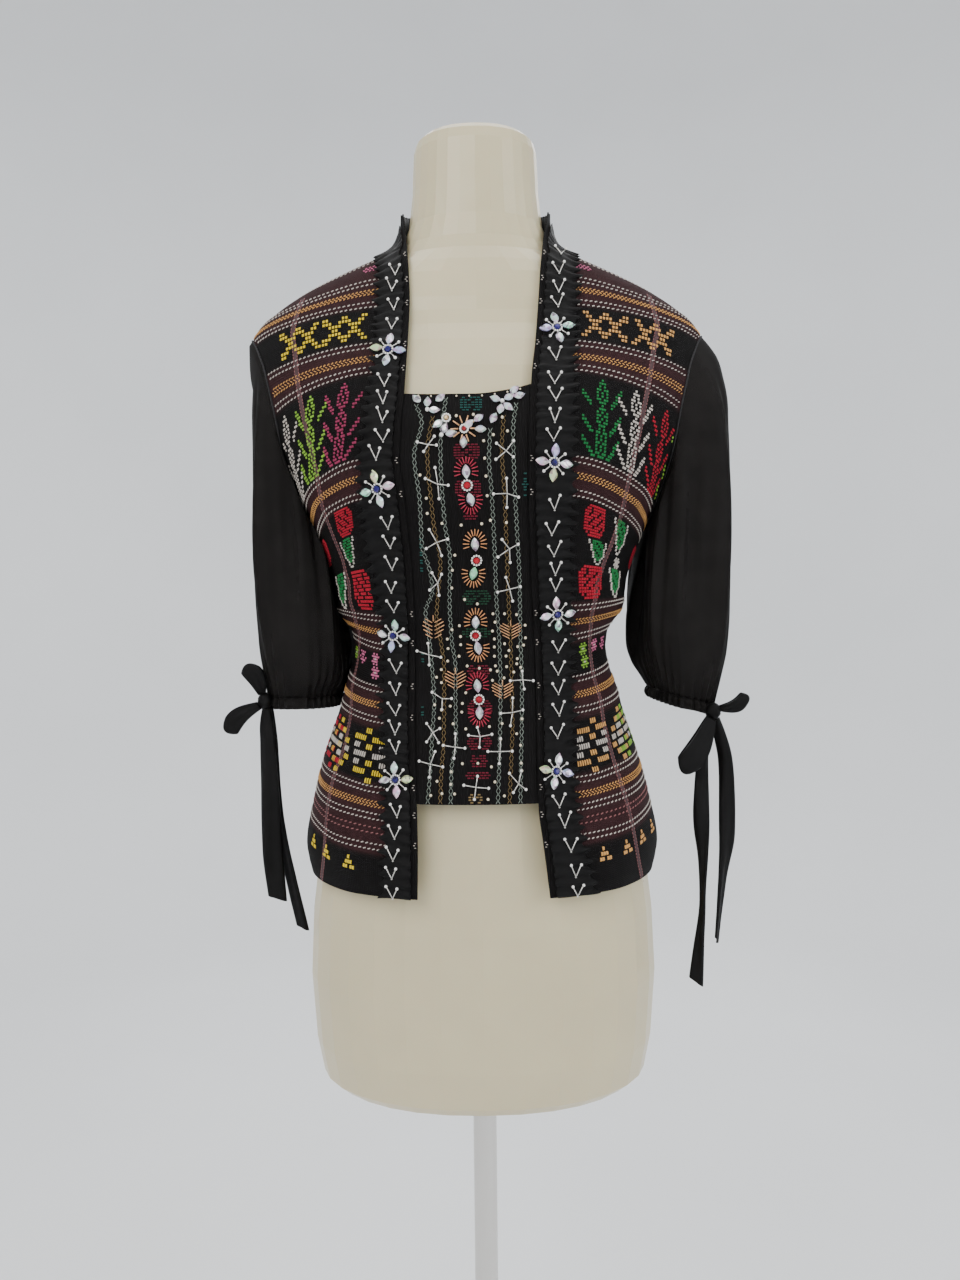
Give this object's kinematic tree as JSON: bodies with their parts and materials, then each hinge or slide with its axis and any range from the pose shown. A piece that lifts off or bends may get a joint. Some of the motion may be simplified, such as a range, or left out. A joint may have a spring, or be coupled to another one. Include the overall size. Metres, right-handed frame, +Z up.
{
  "type": "kebaya blouse on a dress form",
  "caption": "Open-front kebaya blouse of striped woven cloth with sheer puff sleeves and ribbon ties, shown on a limbless dress form with a pole stand.",
  "frame": {"origin": "middle of the underside of the stand's base plate", "axes": "+Z up along the pole; the blouse's front faces -Y; the viewer's right is +X"},
  "size_m": [0.4782, 0.34, 1.517],
  "materials": {
    "woven_cloth": "black woven cloth with maroon bands of raised threads",
    "ruched_ribbon": "black satin ribbon",
    "sheer_sleeve": "sheer black cloth, soft folds",
    "clear_stone": "faceted clear stones",
    "form_shell": "smooth pale cream plastic",
    "stand_metal": "bright steel"
  },
  "bodies": {
    "root": {"front_left": "woven_cloth", "front_right": "woven_cloth", "back": "woven_cloth", "centre_panel": "woven_cloth", "ribbon_left": "ruched_ribbon", "ribbon_right": "ruched_ribbon", "collar": "ruched_ribbon", "tie_tail_left_front": "ruched_ribbon", "tie_tail_left_rear": "ruched_ribbon", "tie_tail_right_front": "ruched_ribbon", "tie_tail_right_rear": "ruched_ribbon", "tie_loop_left_upper": "ruched_ribbon", "tie_loop_left_lower": "ruched_ribbon", "tie_loop_right_upper": "ruched_ribbon", "tie_loop_right_lower": "ruched_ribbon", "tie_knot_left": "ruched_ribbon", "tie_knot_right": "ruched_ribbon", "sleeve_left": "sheer_sleeve", "sleeve_right": "sheer_sleeve", "cuff_left": "sheer_sleeve", "cuff_right": "sheer_sleeve", "stone_flower_left_1": "clear_stone", "stone_flower_left_2": "clear_stone", "stone_flower_left_3": "clear_stone", "stone_flower_left_4": "clear_stone", "stone_flower_right_1": "clear_stone", "stone_flower_right_2": "clear_stone", "stone_flower_right_3": "clear_stone", "stone_flower_right_4": "clear_stone", "stone_sprig_1": "clear_stone", "stone_sprig_2": "clear_stone", "stone_sprig_3": "clear_stone", "stone_sprig_4": "clear_stone", "dress_form": "form_shell", "stand_base": "stand_metal", "stand_flange": "stand_metal", "stand_pole": "stand_metal"}
  },
  "joints": []
}
